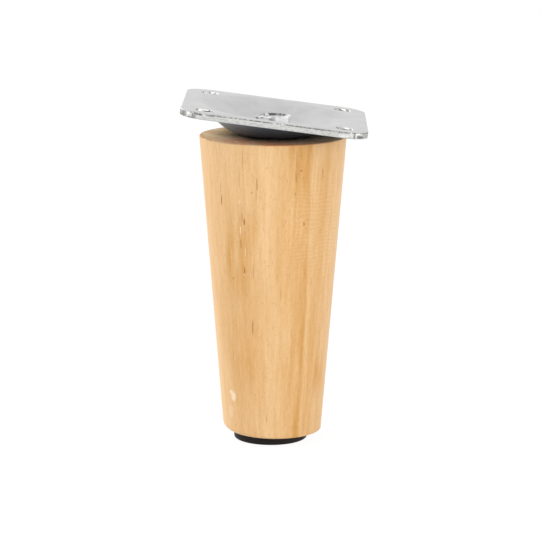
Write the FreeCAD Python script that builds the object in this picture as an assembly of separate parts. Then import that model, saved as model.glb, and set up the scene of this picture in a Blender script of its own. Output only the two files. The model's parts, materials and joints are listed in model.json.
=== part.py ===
import FreeCAD, Part
import math
import os

# A turned, tapered wooden furniture leg that stands on a nailed glide and carries a pressed steel plate.
# Millimetres. The origin is on the leg's own axis at the floor, under the glide, and +Z runs up that axis.
# The plate is inclined about Y, so that its +X side is the lower one.

# Turned leg
leg_length = 114.6
leg_top_diameter = 56.2
leg_foot_diameter = 37.7
top_arris = 0.5
# The foot's arris was sanded round off centre, most on the -X side and hardly on the other
foot_arris = 3.4
foot_arris_shift = 1.2
foot_arris_margin = 0.2

# Glide under the foot, and the nail moulded into it, driven in a little off the leg's axis
glide_inset = 4.7
glide_thickness = 3.7
glide_edge_radius = 0.7
glide_offset = -0.65
nail_diameter = 2.2
nail_tip_diameter = 0.6
nail_length = 22.0
nail_point_length = 4.0
nail_head_diameter = 9.0
nail_head_thickness = 1.0
nail_cover = 1.4

# Pressed plate: the flat square, its screw holes, and the bowl with its level seat
splay_angle = 7.2
plate_side = 70.0
plate_thickness = 2.5
plate_corner_radius = 9.5
plate_edge_roll = 0.4
screw_edge_distance = 9.0
screw_hole_diameter = 6.5
bowl_rim_margin = 7.1
bowl_seat_radius = 14.7
bowl_shallow_depth = 3.52
flat_border = 1.9
seat_flat_radius = 8.75
# The plate sits off the leg's axis by part of the play in its bolt hole
plate_offset = -0.35

# Hexagon bolt and the insert nut that it screws into
bolt_diameter = 8.0
bolt_length = 30.0
bolt_tip_chamfer = 1.0
bolt_head_width = 13.0
bolt_head_height = 5.1
bolt_head_flat_share = 0.95
bolt_head_chamfer_angle = 30.0
bolt_dish_diameter = 8.4
bolt_dish_depth = 0.7
bolt_dish_wall_run = 0.5
insert_wall = 2.5
insert_length = 25.0
insert_recess = 0.3
insert_socket_depth = 7.0
bore_extra_depth = 6.0

# Play between pieces that fit into each other, all round
fit_clearance = 0.05
bolt_hole_clearance = 0.5
bolt_bore_clearance = 0.3
insert_socket_clearance = 0.8

# Sizes and places that follow from those above
match_tolerance = 1e-4
X_AXIS = FreeCAD.Vector(1, 0, 0)
Y_AXIS = FreeCAD.Vector(0, 1, 0)
Z_AXIS = FreeCAD.Vector(0, 0, 1)
ORIGIN = FreeCAD.Vector(0, 0, 0)
foot_z = glide_thickness
leg_top_z = foot_z + leg_length
seat_top_z = leg_top_z + plate_thickness
seat_centre = FreeCAD.Vector(plate_offset, 0, leg_top_z)
splay = math.radians(splay_angle)
plate_normal = FreeCAD.Rotation(Y_AXIS, splay_angle).multVec(Z_AXIS)
bowl_rim_radius = plate_side / 2 - bowl_rim_margin
# The rim's lower side stands bowl_shallow_depth above the seat, which sets the plate's height over it
plate_rise = (bowl_shallow_depth + bowl_rim_radius * math.sin(splay)) / math.cos(splay)
bolt_radius = bolt_diameter / 2
bolt_tip_z = seat_top_z - bolt_length
insert_radius = bolt_radius + insert_wall
insert_top_z = leg_top_z - insert_recess
insert_bottom_z = insert_top_z - insert_length


def at_height(z, x=0):
    return FreeCAD.Vector(x, 0, z)


def cylinder(radius, low_z, high_z, x=0):
    return Part.makeCylinder(radius, high_z - low_z, at_height(low_z, x))


def hexagon(width_across_flats, low_z, high_z):
    """A hexagon prism with one of its corners towards -Y."""
    corner_radius = width_across_flats / math.sqrt(3)
    toward_front = FreeCAD.Vector(0, -corner_radius, low_z)
    corners = []
    for step in range(7):
        corners.append(FreeCAD.Rotation(Z_AXIS, 60 * step).multVec(toward_front))
    return Part.Face(Part.makePolygon(corners)).extrude(at_height(high_z - low_z))


def level_circles(shape, z):
    """The closed edges of a shape that lie level at one height."""
    found = []
    for edge in shape.Edges:
        box = edge.BoundBox
        off_level = max(abs(box.ZMin - z), abs(box.ZMax - z))
        if edge.isClosed() and off_level < match_tolerance:
            found.append(edge)
    return found


def circle_edges(shape, centre, radius):
    """The edges of a shape that lie on one circle."""
    found = []
    for edge in shape.Edges:
        curve = edge.Curve
        if isinstance(curve, Part.Circle) and abs(curve.Radius - radius) < match_tolerance:
            if curve.Center.distanceToPoint(centre) < match_tolerance:
                found.append(edge)
    return found


def tapered_turning(extra_radius):
    """The leg's cone, larger all round by extra_radius."""
    foot_radius = leg_foot_diameter / 2 + extra_radius
    top_radius = leg_top_diameter / 2 + extra_radius
    return Part.makeCone(foot_radius, top_radius, leg_length, at_height(foot_z))


def wooden_leg():
    turned = tapered_turning(0)
    turned = turned.makeFillet(top_arris, level_circles(turned, leg_top_z))
    # The sanded form stands clear of the leg's side, so that it only takes away the arris
    sanded = tapered_turning(foot_arris_shift + foot_arris_margin)
    sanded = sanded.makeFillet(foot_arris, level_circles(sanded, foot_z))
    sanded.translate(X_AXIS * foot_arris_shift)
    leg = turned.common(sanded)
    leg = leg.cut(cylinder(insert_radius + fit_clearance, insert_bottom_z, leg_top_z))
    bore_bottom_z = min(insert_bottom_z, bolt_tip_z) - bore_extra_depth
    leg = leg.cut(cylinder(bolt_radius + bolt_bore_clearance, bore_bottom_z, leg_top_z))
    return leg.cut(nail_shank(fit_clearance))


def nail_shank(clearance):
    """The nail's shank and point above its head, larger all round by a clearance."""
    head_top_z = nail_cover + nail_head_thickness
    point_z = nail_cover + nail_length - nail_point_length + clearance
    shank_radius = nail_diameter / 2 + clearance
    tip_radius = nail_tip_diameter / 2 + clearance
    shank = cylinder(shank_radius, head_top_z, point_z, glide_offset)
    point = Part.makeCone(shank_radius, tip_radius, nail_point_length, at_height(point_z, glide_offset))
    return shank.fuse(point)


def glide_nail():
    head_top_z = nail_cover + nail_head_thickness
    head = cylinder(nail_head_diameter / 2, nail_cover, head_top_z, glide_offset)
    return head.fuse(nail_shank(0))


def foot_glide():
    pad = cylinder(leg_foot_diameter / 2 - glide_inset, 0, glide_thickness, glide_offset)
    pad = pad.makeFillet(glide_edge_radius, level_circles(pad, 0) + level_circles(pad, glide_thickness))
    # The plastic is moulded round the nail's head, which stays under a cover of its own
    return pad.cut(glide_nail())


def threaded_insert():
    body = cylinder(insert_radius, insert_bottom_z, insert_top_z)
    body = body.cut(cylinder(bolt_radius + fit_clearance, insert_bottom_z, insert_top_z))
    socket_width = bolt_diameter + 2 * insert_socket_clearance
    return body.cut(hexagon(socket_width, insert_top_z - insert_socket_depth, insert_top_z))


def on_plate(shape, height):
    """Set a level shape parallel to the plate, at a height above the seat along the plate's normal."""
    shape.rotate(ORIGIN, Y_AXIS, splay_angle)
    shape.translate(seat_centre + plate_normal * height)
    return shape


def plate_blank():
    """The flat square sheet, with its corners rounded and its upper edge rolled over by the punch."""
    half_side = plate_side / 2
    sheet = Part.makeBox(plate_side, plate_side, plate_thickness, FreeCAD.Vector(-half_side, -half_side, 0))
    corners = [edge for edge in sheet.Edges if edge.BoundBox.ZLength > plate_thickness / 2]
    sheet = sheet.makeFillet(plate_corner_radius, corners)
    upper_edges = [edge for edge in sheet.Edges if edge.BoundBox.ZMin > plate_thickness / 2]
    return on_plate(sheet.makeFillet(plate_edge_roll, upper_edges), plate_rise)


def screw_holes():
    """What the punch takes out of the plate's four corners."""
    offset = plate_side / 2 - screw_edge_distance
    holes = []
    for side_x in (-1, 1):
        for side_y in (-1, 1):
            place = FreeCAD.Vector(side_x * offset, side_y * offset, 0)
            holes.append(Part.makeCylinder(screw_hole_diameter / 2, plate_thickness, place))
    return on_plate(Part.makeCompound(holes), plate_rise)


def bowl_skin(seat_z, seat_radius, rim_height, rim_radius):
    """One face of the bowl: a straight wall from the level seat to the inclined rim."""
    seat = Part.makeCircle(seat_radius, at_height(seat_z, plate_offset))
    rim = on_plate(Part.makeCircle(rim_radius), rim_height)
    return Part.makeLoft([Part.Wire(seat), Part.Wire(rim)], True, True)


def mounting_plate():
    # The wall's mean slope says how far the sheet's inner face stands in from its outer one
    wall_slope = math.atan2(plate_rise, bowl_rim_radius - bowl_seat_radius)
    setback = plate_thickness * math.tan(wall_slope / 2)
    inner_seat_radius = bowl_seat_radius - setback
    inner_rim_radius = bowl_rim_radius - setback
    # The bends are as large as leaves a flat seat and a flat border of the plate on the steepest, -X side
    steep_rise = plate_rise * math.cos(splay) + bowl_rim_radius * math.sin(splay)
    steep_run = bowl_rim_radius * math.cos(splay) - plate_rise * math.sin(splay) - bowl_seat_radius
    steep_slope = math.atan2(steep_rise, steep_run)
    seat_bend = (inner_seat_radius - seat_flat_radius) / math.tan(steep_slope / 2)
    rim_bend = (bowl_rim_margin + setback - flat_border) / math.tan((steep_slope - splay) / 2)
    plate_top = plate_rise + plate_thickness
    outer = bowl_skin(leg_top_z, bowl_seat_radius, plate_rise, bowl_rim_radius)
    inner = bowl_skin(seat_top_z, inner_seat_radius, plate_top, inner_rim_radius)
    plate = plate_blank().fuse(outer).cut(inner)
    bends = [
        (seat_centre, bowl_seat_radius, seat_bend + plate_thickness),
        (at_height(seat_top_z, plate_offset), inner_seat_radius, seat_bend),
        (seat_centre + plate_normal * plate_rise, bowl_rim_radius, rim_bend - plate_thickness),
        (seat_centre + plate_normal * plate_top, inner_rim_radius, rim_bend),
    ]
    for centre, radius, bend in bends:
        plate = plate.makeFillet(bend, circle_edges(plate, centre, radius))
    plate = plate.cut(cylinder(bolt_radius + bolt_hole_clearance, leg_top_z, seat_top_z, plate_offset))
    return plate.cut(screw_holes())


def hex_bolt():
    head_top_z = seat_top_z + bolt_head_height
    head = hexagon(bolt_head_width, seat_top_z, head_top_z)
    # A shallow cone takes the corners off the head and leaves a round flat on top
    flat_radius = bolt_head_width / 2 * bolt_head_flat_share
    cone_height = bolt_head_width * math.tan(math.radians(bolt_head_chamfer_angle))
    cone_base = at_height(head_top_z - cone_height)
    head = head.common(Part.makeCone(flat_radius + bolt_head_width, flat_radius, cone_height, cone_base))
    dish_radius = bolt_dish_diameter / 2
    dish_floor = at_height(head_top_z - bolt_dish_depth)
    head = head.cut(Part.makeCone(dish_radius - bolt_dish_wall_run, dish_radius, bolt_dish_depth, dish_floor))
    shank = cylinder(bolt_radius, bolt_tip_z, seat_top_z)
    shank = shank.makeChamfer(bolt_tip_chamfer, level_circles(shank, bolt_tip_z))
    return head.fuse(shank)


def main():
    nodes = {
        "wooden_leg": wooden_leg(),
        "foot_glide": foot_glide(),
        "glide_nail": glide_nail(),
        "threaded_insert": threaded_insert(),
        "mounting_plate": mounting_plate(),
        "hex_bolt": hex_bolt(),
    }
    os.makedirs("parts", exist_ok=True)
    for name, shape in nodes.items():
        shape.exportStep("parts/" + name + ".step")
        print(name, "solids", len(shape.Solids), "valid", shape.isValid(), "volume", round(shape.Volume, 1))


main()
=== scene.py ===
# %% [markdown]
# # A tapered wooden furniture leg
# The object is a round leg turned from one piece of pale hardwood. It stands on a black plastic glide, and
# a zinc-plated steel plate, pressed into a shallow bowl, is bolted to its top at an angle, so that the leg
# splays outwards under a cabinet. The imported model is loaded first, as a frame that stays fixed. Each piece
# is then modelled again with Blender's own mesh operators, at the size that the frame gives, and gets a
# finish made of shader nodes.

# %% Load the frame
import json
import math

import bmesh
import bpy
from mathutils import Matrix, Vector


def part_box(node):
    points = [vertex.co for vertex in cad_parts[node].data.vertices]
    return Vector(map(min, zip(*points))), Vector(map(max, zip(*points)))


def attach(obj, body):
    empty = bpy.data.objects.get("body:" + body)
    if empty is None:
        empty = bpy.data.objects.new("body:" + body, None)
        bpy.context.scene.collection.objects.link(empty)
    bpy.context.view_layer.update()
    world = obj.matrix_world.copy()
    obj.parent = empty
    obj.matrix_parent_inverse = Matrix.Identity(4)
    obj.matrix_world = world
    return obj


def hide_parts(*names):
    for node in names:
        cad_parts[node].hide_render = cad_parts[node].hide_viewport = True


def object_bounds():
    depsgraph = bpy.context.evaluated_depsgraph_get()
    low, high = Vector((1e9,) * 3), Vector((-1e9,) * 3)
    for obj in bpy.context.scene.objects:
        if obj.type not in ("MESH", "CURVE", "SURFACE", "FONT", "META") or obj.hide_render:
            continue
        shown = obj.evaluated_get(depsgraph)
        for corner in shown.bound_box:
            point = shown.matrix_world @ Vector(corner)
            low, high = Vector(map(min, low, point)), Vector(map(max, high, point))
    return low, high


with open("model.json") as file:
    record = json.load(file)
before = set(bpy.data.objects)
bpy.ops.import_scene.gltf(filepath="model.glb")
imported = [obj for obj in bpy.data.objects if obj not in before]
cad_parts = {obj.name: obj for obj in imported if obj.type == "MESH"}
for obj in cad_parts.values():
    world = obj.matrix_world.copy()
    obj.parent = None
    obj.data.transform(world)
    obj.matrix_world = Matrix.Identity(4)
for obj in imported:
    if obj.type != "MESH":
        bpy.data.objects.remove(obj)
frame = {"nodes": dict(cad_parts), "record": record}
cad_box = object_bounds()
scene = bpy.context.scene
MM = 0.001
print("frame nodes:", sorted(frame["nodes"]))

# %% [markdown]
# ## Camera
# The picture was taken with a long lens, a little above the plate and almost straight on. The place, the
# turn and the lens below make the frame's corners fall where the photograph shows them. A camera looks along
# its own -Z, so it is first pitched up from looking straight down, and then turned about the vertical.

# %% Camera
CAMERA_PLACE = Vector((10.8, -920.95, 250.42)) * MM
CAMERA_TURN, CAMERA_PITCH, CAMERA_ROLL = (math.radians(angle) for angle in (0.735, 78.67, 0.145))
CAMERA_LENS = 162.98

camera = bpy.data.objects.new("camera", bpy.data.cameras.new("camera"))
camera.data.lens = CAMERA_LENS
upright = Matrix.Rotation(CAMERA_TURN, 4, "Z") @ Matrix.Rotation(CAMERA_PITCH, 4, "X")
camera.matrix_world = Matrix.Translation(CAMERA_PLACE) @ upright @ Matrix.Rotation(CAMERA_ROLL, 4, "Z")
scene.collection.objects.link(camera)
scene.camera = camera
scene.view_settings.view_transform = "Standard"
print("camera looks down by", round(90 - math.degrees(CAMERA_PITCH), 2), "degrees")

# %% [markdown]
# ## Helpers for shader nodes
# A finish is a small network of nodes. Written out one by one, they hide the idea, so a few short helpers
# place a node, set its options and feed its inputs. Colours are given as a colour picker shows them, from
# 0 to 255, and turned into the linear values that shaders work with.

# %% Helpers for shader nodes
def paint(red, green, blue):
    """A colour from a picker's 0 to 255 as linear RGBA."""
    shares = [value / 255 for value in (red, green, blue)]
    linear = [share / 12.92 if share <= 0.04045 else ((share + 0.055) / 1.055) ** 2.4 for share in shares]
    return (*linear, 1.0)


def add_node(tree, kind, inputs=None, **options):
    """Place one node, set its options, and feed its inputs with plain values or other nodes' outputs."""
    made = tree.nodes.new("ShaderNode" + kind)
    for option, value in options.items():
        setattr(made, option, value)
    for socket, value in (inputs or {}).items():
        if isinstance(value, bpy.types.NodeSocket):
            tree.links.new(value, made.inputs[socket])
        else:
            made.inputs[socket].default_value = value
    return made


def calc(tree, operation, *values):
    """One step of arithmetic on values or outputs."""
    return add_node(tree, "Math", dict(enumerate(values)), operation=operation).outputs[0]


def times(tree, value, share):
    return calc(tree, "MULTIPLY", value, share)


def step_up(tree, value, low, high):
    """A soft step: 0 up to low, 1 from high on."""
    inputs = {"Value": value, "From Min": low, "From Max": high}
    return add_node(tree, "MapRange", inputs, interpolation_type="SMOOTHSTEP").outputs["Result"]


def between(tree, value, low, high, soft):
    """1 between two values, falling softly to 0 outside them."""
    rising = step_up(tree, value, low - soft, low + soft)
    falling = step_up(tree, value, high + soft, high - soft)
    return times(tree, rising, falling)


def mix_colours(tree, share, first, second):
    """A mix of two colours, by a share from 0 to 1; a Mix node keeps its colours in sockets 6, 7 and 2."""
    return add_node(tree, "Mix", {0: share, 6: first, 7: second}, data_type="RGBA").outputs[2]


def mapped(tree, vector, scale=(1, 1, 1), place=(0, 0, 0), turn=(0, 0, 0)):
    """Coordinates moved, turned and stretched by a Mapping node."""
    inputs = {"Vector": vector, "Location": place, "Rotation": turn, "Scale": scale}
    return add_node(tree, "Mapping", inputs).outputs["Vector"]


def noise(tree, vector, scale, detail=2.0, roughness=0.5):
    """Cloudy noise from 0 to 1; scale is its clouds to the metre, as one number or one for each axis."""
    if not isinstance(scale, (int, float)):
        vector, scale = mapped(tree, vector, scale), 1.0
    inputs = {"Vector": vector, "Scale": scale, "Detail": detail, "Roughness": roughness}
    return add_node(tree, "TexNoise", inputs).outputs["Fac"]


def object_place(tree):
    return add_node(tree, "TexCoord").outputs["Object"]


def new_finish(name):
    """A material with one Principled shader; gives the material, its node tree and that shader."""
    material = bpy.data.materials.new(name)
    material.use_nodes = True
    return material, material.node_tree, material.node_tree.nodes["Principled BSDF"]


def roughen(tree, shader, height, depth):
    """Small relief on a finish: depth is the height of its hills, in metres."""
    inputs = {"Height": height, "Distance": depth, "Strength": 1.0}
    tree.links.new(add_node(tree, "Bump", inputs).outputs["Normal"], shader.inputs["Normal"])


print("wood colour as linear values:", [round(value, 3) for value in paint(235, 192, 139)])

# %% [markdown]
# ## Floor and light
# A product like this is photographed on white, in light that comes from all sides. The world gives that
# even light, and three large lamps add a soft direction to it. The floor looks white to the camera and in the
# metal, because its material glows for those rays only. It still takes a breath of the leg's shadow, and
# throws back plain daylight on the object. Seen from below it is clear, so that the foot can be looked at.

# %% Floor and light
FLOOR_SIZE = 6.0
FLOOR_GLOW, FLOOR_SHADE = 0.95, 0.07
FLOOR_PALE = paint(231, 231, 231)
WORLD_LIGHT = 0.78
FLOOR_DROP = 0.02 * MM
# Place and size in metres, and power in watts.
LAMPS = {
    "front_left_lamp": ((-0.9, -1.1, 0.78), 0.9, 5.4),
    "right_lamp": ((1.2, -0.7, 0.34), 0.6, 5.0),
    "back_left_lamp": ((-0.9, 0.9, 0.62), 0.6, 8.5),
}


def seen_directly(tree):
    """1 for the camera's own rays and for what metal shows, 0 for light on its way to the object."""
    rays = add_node(tree, "LightPath").outputs
    mirrored = calc(tree, "MAXIMUM", rays["Is Glossy Ray"], rays["Is Transmission Ray"])
    return calc(tree, "MAXIMUM", rays["Is Camera Ray"], mirrored)


def white_floor():
    material, tree, shader = new_finish("white_floor")
    tree.nodes.remove(shader)
    glow = add_node(tree, "Emission", {"Strength": FLOOR_GLOW}).outputs[0]
    shade = add_node(tree, "BsdfDiffuse", {"Color": (*[FLOOR_SHADE] * 3, 1)}).outputs[0]
    shown = add_node(tree, "AddShader", {0: glow, 1: shade}).outputs[0]
    plain = add_node(tree, "BsdfDiffuse", {"Color": FLOOR_PALE}).outputs[0]
    upper = add_node(tree, "MixShader", {0: seen_directly(tree), 1: plain, 2: shown}).outputs[0]
    from_below = add_node(tree, "NewGeometry").outputs["Backfacing"]
    clear = add_node(tree, "BsdfTransparent").outputs[0]
    sides = add_node(tree, "MixShader", {0: from_below, 1: upper, 2: clear}).outputs[0]
    tree.links.new(sides, tree.nodes["Material Output"].inputs["Surface"])
    return material


def white_room():
    """A world that is white to look at, and that lights the object a little less than that."""
    world = bpy.data.worlds.new("white_room")
    world.use_nodes = True
    tree = world.node_tree
    strength = add_node(tree, "MapRange", {"Value": seen_directly(tree), "To Min": WORLD_LIGHT})
    tree.links.new(strength.outputs["Result"], tree.nodes["Background"].inputs["Strength"])
    tree.nodes["Background"].inputs["Color"].default_value = (1, 1, 1, 1)
    return world


def stage_sheet(name, size, matrix, material):
    """A flat square that belongs to the studio and not to the object."""
    bm = bmesh.new()
    bmesh.ops.create_grid(bm, x_segments=1, y_segments=1, size=size, matrix=matrix)
    mesh = bpy.data.meshes.new(name)
    bm.to_mesh(mesh)
    bm.free()
    mesh.materials.append(material)
    sheet = bpy.data.objects.new(name, mesh)
    scene.collection.objects.link(sheet)


def soft_lamp(name, place, size, power):
    """A square lamp that faces the middle of the leg."""
    lamp = bpy.data.lights.new(name, "AREA")
    lamp.size = size
    lamp.energy = power
    holder = bpy.data.objects.new(name, lamp)
    towards_leg = (cad_box[0] + cad_box[1]) / 2 - Vector(place)
    turn = towards_leg.to_track_quat("-Z", "Y").to_matrix().to_4x4()
    holder.matrix_world = Matrix.Translation(place) @ turn
    scene.collection.objects.link(holder)


stage_sheet("floor", FLOOR_SIZE, Matrix.Translation((0, 0, -FLOOR_DROP)), white_floor())
scene.world = white_room()
for lamp_name, (lamp_place, lamp_size, lamp_power) in LAMPS.items():
    soft_lamp(lamp_name, lamp_place, lamp_size, lamp_power)
print("floor made, and", len(LAMPS), "lamps")

# %% [markdown]
# ## Helpers for pieces
# Every piece goes through the same last steps: doubles are merged, the normals are made to point outwards,
# the mesh becomes an object at the origin that is shaded smooth, and it takes the place of its node in the
# frame. Round pieces start as an outline of radii and heights, which spin turns round an upright axis, as a
# lathe does.

# %% Helpers for pieces
TINY = 0.002 * MM
TURNING_STEPS = 180


def finish_piece(bm, name, node, materials):
    """A bmesh becomes a piece of the object, in place of a node of the frame."""
    bmesh.ops.remove_doubles(bm, verts=bm.verts, dist=TINY)
    bmesh.ops.recalc_face_normals(bm, faces=bm.faces)
    mesh = bpy.data.meshes.new(name)
    bm.to_mesh(mesh)
    bm.free()
    for material in materials:
        mesh.materials.append(material)
    mesh.shade_smooth()
    piece = bpy.data.objects.new(name, mesh)
    scene.collection.objects.link(piece)
    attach(piece, "root")
    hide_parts(node)
    print(name, "has", len(mesh.polygons), "faces before its modifiers")
    return piece


def turn_outline(bm, outline, centre_x=0.0, steps=TURNING_STEPS):
    """Spin an outline of (radius, height) points once round an upright axis."""
    points = [bm.verts.new((centre_x + radius, 0, height)) for radius, height in outline]
    lines = [bm.edges.new(pair) for pair in zip(points, points[1:])]
    bmesh.ops.spin(bm, geom=points + lines, cent=(centre_x, 0, 0), axis=(0, 0, 1),
                   angle=math.tau, steps=steps, use_merge=True)
    bmesh.ops.remove_doubles(bm, verts=bm.verts, dist=TINY)


def ring_edges(bm, radius, height, centre_x=0.0):
    """The edges of the level ring of that radius and height."""
    def on_ring(vert):
        reach = math.hypot(vert.co.x - centre_x, vert.co.y)
        return abs(reach - radius) < TINY and abs(vert.co.z - height) < TINY
    return [edge for edge in bm.edges if all(on_ring(vert) for vert in edge.verts)]


def round_edges(bm, edges, size, segments):
    bmesh.ops.bevel(bm, geom=edges, offset=size, offset_type="OFFSET", segments=segments, profile=0.5,
                    affect="EDGES", material=-1, clamp_overlap=True, loop_slide=True)


def grow_ring(bm, edges, matrix):
    """Extrude a ring of edges and carry the new ring off by a matrix; gives the new ring's edges."""
    grown = bmesh.ops.extrude_edge_only(bm, edges=edges)["geom"]
    verts = [part for part in grown if isinstance(part, bmesh.types.BMVert)]
    bmesh.ops.transform(bm, matrix=matrix, verts=verts)
    new_edges = [part for part in grown if isinstance(part, bmesh.types.BMEdge)]
    return [edge for edge in new_edges if set(edge.verts) <= set(verts)]


def soften(piece, width, segments, angle=40.0):
    """Round every edge sharper than an angle with a live Bevel modifier."""
    bevel = piece.modifiers.new("soft_edges", "BEVEL")
    bevel.width = width
    bevel.segments = segments
    bevel.limit_method = "ANGLE"
    bevel.angle_limit = math.radians(angle)
    bevel.harden_normals = True
    return bevel


print("round pieces are turned in", TURNING_STEPS, "steps")

# %% [markdown]
# ## Growth layers
# The wood is pale and close grained. Wood is solid, so its figure is worked out in space and the turned
# surface cuts through it, just as the lathe did. A ring texture would make every ring alike. So the growth
# layers are noise that changes only with the distance to a pith, which lies well outside the leg.

# %% Growth layers
PITH_PLACE = (35 * MM, 60 * MM, 0)
LAYERS_PER_METRE = 170.0
WAVERS_PER_METRE, WAVER_REACH = (22, 22, 7), (7 * MM, 7 * MM, 0)
MIDDLE, LEVEL = (0.5, 0.5, 0.5), (1, 1, 0)


def vector_calc(tree, operation, *values):
    """One step of arithmetic on vectors; gives the node's outputs."""
    return add_node(tree, "VectorMath", dict(enumerate(values)), operation=operation).outputs


def growth_layers(tree, place):
    """Noise that changes only with the distance from the pith, bent a little by the tree's own wavering."""
    inputs = {"Vector": mapped(tree, place, WAVERS_PER_METRE), "Scale": 1.0, "Detail": 2.0}
    waver = add_node(tree, "TexNoise", inputs).outputs["Color"]
    centred = vector_calc(tree, "SUBTRACT", waver, MIDDLE)["Vector"]
    bent = vector_calc(tree, "MULTIPLY_ADD", centred, WAVER_REACH, place)["Vector"]
    level = vector_calc(tree, "MULTIPLY", bent, LEVEL)["Vector"]
    reach = vector_calc(tree, "DISTANCE", level, PITH_PLACE)["Value"]
    layer = times(tree, reach, LAYERS_PER_METRE)
    bands = add_node(tree, "TexNoise", {"W": layer, "Scale": 1.0, "Detail": 2.0}, noise_dimensions="1D")
    return bands.outputs["Fac"]


def about_zero(tree, value):
    """Noise runs from 0 to 1; this lets it swing evenly about 0."""
    return calc(tree, "SUBTRACT", value, 0.5)


def scaled_noise(tree, vector, scale, share, detail=2.0):
    """Noise that swings evenly about 0, times a share."""
    return times(tree, about_zero(tree, noise(tree, vector, scale, detail)), share)


def add_up(tree, *values):
    total = values[0]
    for value in values[1:]:
        total = calc(tree, "ADD", total, value)
    return total


print("growth layers:", LAYERS_PER_METRE, "to the metre, round a pith at", PITH_PLACE)

# %% [markdown]
# ## Marks in the wood
# A real board has its own face, with a few brown flecks and the pale dents of rough handling. An image would
# have to be wrapped round the leg. Here each mark is a small soft egg in space instead, which the surface
# cuts.
# The egg is a node group, because so many marks use it, on the metal too.

# %% Marks in the wood
FLECK_DEPTH = 1.5 * MM
FOOT_RADIUS = 18.85 * MM
RAGGED_PER_METRE, RAGGED_SHARE = 1500, 1.1
MARK_ENDS, MARK_FULL = 1.2, 0.7
leg_low, leg_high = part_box("wooden_leg")
leg_top_radius = leg_high.y


def soft_mark_group():
    """A ragged egg: 1 inside it and 0 outside."""
    group = bpy.data.node_groups.new("soft_mark", "ShaderNodeTree")
    for socket in ("Vector", "Place", "Half size"):
        group.interface.new_socket(socket, in_out="INPUT", socket_type="NodeSocketVector")
    group.interface.new_socket("Mark", in_out="OUTPUT", socket_type="NodeSocketFloat")
    ends = group.nodes.new("NodeGroupInput").outputs
    offset = vector_calc(group, "SUBTRACT", ends["Vector"], ends["Place"])["Vector"]
    egg = vector_calc(group, "DIVIDE", offset, ends["Half size"])["Vector"]
    reach = vector_calc(group, "LENGTH", egg)["Value"]
    ragged = scaled_noise(group, ends["Vector"], RAGGED_PER_METRE, RAGGED_SHARE, 1.0)
    mark = step_up(group, calc(group, "ADD", ragged, reach), MARK_ENDS, MARK_FULL)
    result = group.nodes.new("NodeGroupOutput")
    group.links.new(mark, result.inputs["Mark"])
    return group


soft_mark = soft_mark_group()


def on_leg(x, z):
    """The point of the leg's front that lies at x and at height z."""
    radius = FOOT_RADIUS + (leg_top_radius - FOOT_RADIUS) * (z - leg_low.z) / (leg_high.z - leg_low.z)
    return Vector((x, -math.sqrt(radius ** 2 - x ** 2), z))


def spot_on_leg(x, z, half_width, half_height, strength):
    """The place, half size and strength of a mark on the leg, from millimetres."""
    return on_leg(x * MM, z * MM), Vector((half_width * MM, FLECK_DEPTH, half_height * MM)), strength


def marks(tree, vector, spots):
    """All marks of one kind together; each spot is a place, a half size and a strength."""
    total = None
    for place, half_size, strength in spots:
        made = tree.nodes.new("ShaderNodeGroup")
        made.node_tree = soft_mark
        tree.links.new(vector, made.inputs["Vector"])
        made.inputs["Place"].default_value = place
        made.inputs["Half size"].default_value = half_size
        strong = times(tree, made.outputs["Mark"], strength)
        total = strong if total is None else calc(tree, "MAXIMUM", total, strong)
    return total


print("a mark is a group of", len(soft_mark.nodes), "nodes")

# %% [markdown]
# ## Bands in the wood
# The front of this leg has a broad dark band on its right, a paler one in the middle, a leaning flame of
# darker wood on its left, fields between them, and a fine ripple across the grain. Each is a stretch of angle
# round the leg with its own softness on either side, and some also have a stretch of height. The bands, the
# growth layers and noise of several sizes add up to one tone, because they all darken the same wood.

# %% Bands in the wood
# Left and right side of each band and the softness of each, in degrees from the leg's front.
BANDS = {
    "dark_band": (16, 33, 8, 1.5), "band_edge": (28, 33, 3, 1), "pale_line": (34.5, 38, 1, 2),
    "light_band": (-9, 3, 4, 2), "left_field": (-47, -14, 7, 7), "right_field": (33, 70, 1.5, 9),
    "low_field": (-14, 20, 6, 6), "flame": (-12, 12, 6, 7), "ripple": (16, 72, 9, 6),
    "side_patch": (50, 63, 5, 6),
}
# Lowest and highest point of a band that isn't as long as the leg, and their softness, in millimetres.
BAND_HEIGHTS = {
    "left_field": (24, 90, 9), "low_field": (8, 36, 8), "flame": (60, 88, 9), "ripple": (68, 102, 9),
    "side_patch": (20, 33, 6),
}
# How much darker each makes the wood, where 1 is the whole way from the pale colour to the dark one.
TONE_SHARES = {
    "layers": 0.4, "streaks": 0.38, "dark_band": 0.2, "band_streaks": 0.18, "band_edge": 0.13,
    "band_top": 0.1, "pale_line": -0.16, "light_band": -0.14, "left_field": 0.11, "right_field": 0.15,
    "low_field": 0.08, "flame": 0.42, "ripple": 0.06, "side_patch": 0.4,
}
MIDDLE_TONE = 0.44
# Clouds to the metre along each axis, their share of the tone, and their detail: fibres, clouds and specks.
GRAIN_NOISES = [
    ((900, 900, 9), 0.46, 4.0), ((50, 50, 16), 0.14, 2.0), ((1600, 1600, 300), 0.4, 2.0),
    ((560, 560, 90), 0.18, 4.0),
]
STREAKS_PER_METRE, STREAKS_START, STREAKS_FULL = (420, 420, 9), 0.1, 0.75
BAND_WAVERS_PER_METRE, BAND_WAVER = (30, 30, 26), 0.16
RIPPLES_PER_METRE = 640.0
RIPPLE_BENDS = [((90, 90, 50), 26.0), ((420, 420, 120), 9.0)]
FLAME_LEAN, FLAME_START = 7.0, 1.06
BAND_TOP_START, BAND_TOP_FULL = 84 * MM, 114 * MM
PALE_LINE_END, PALE_LINE_FULL = 76 * MM, 60 * MM


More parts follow.
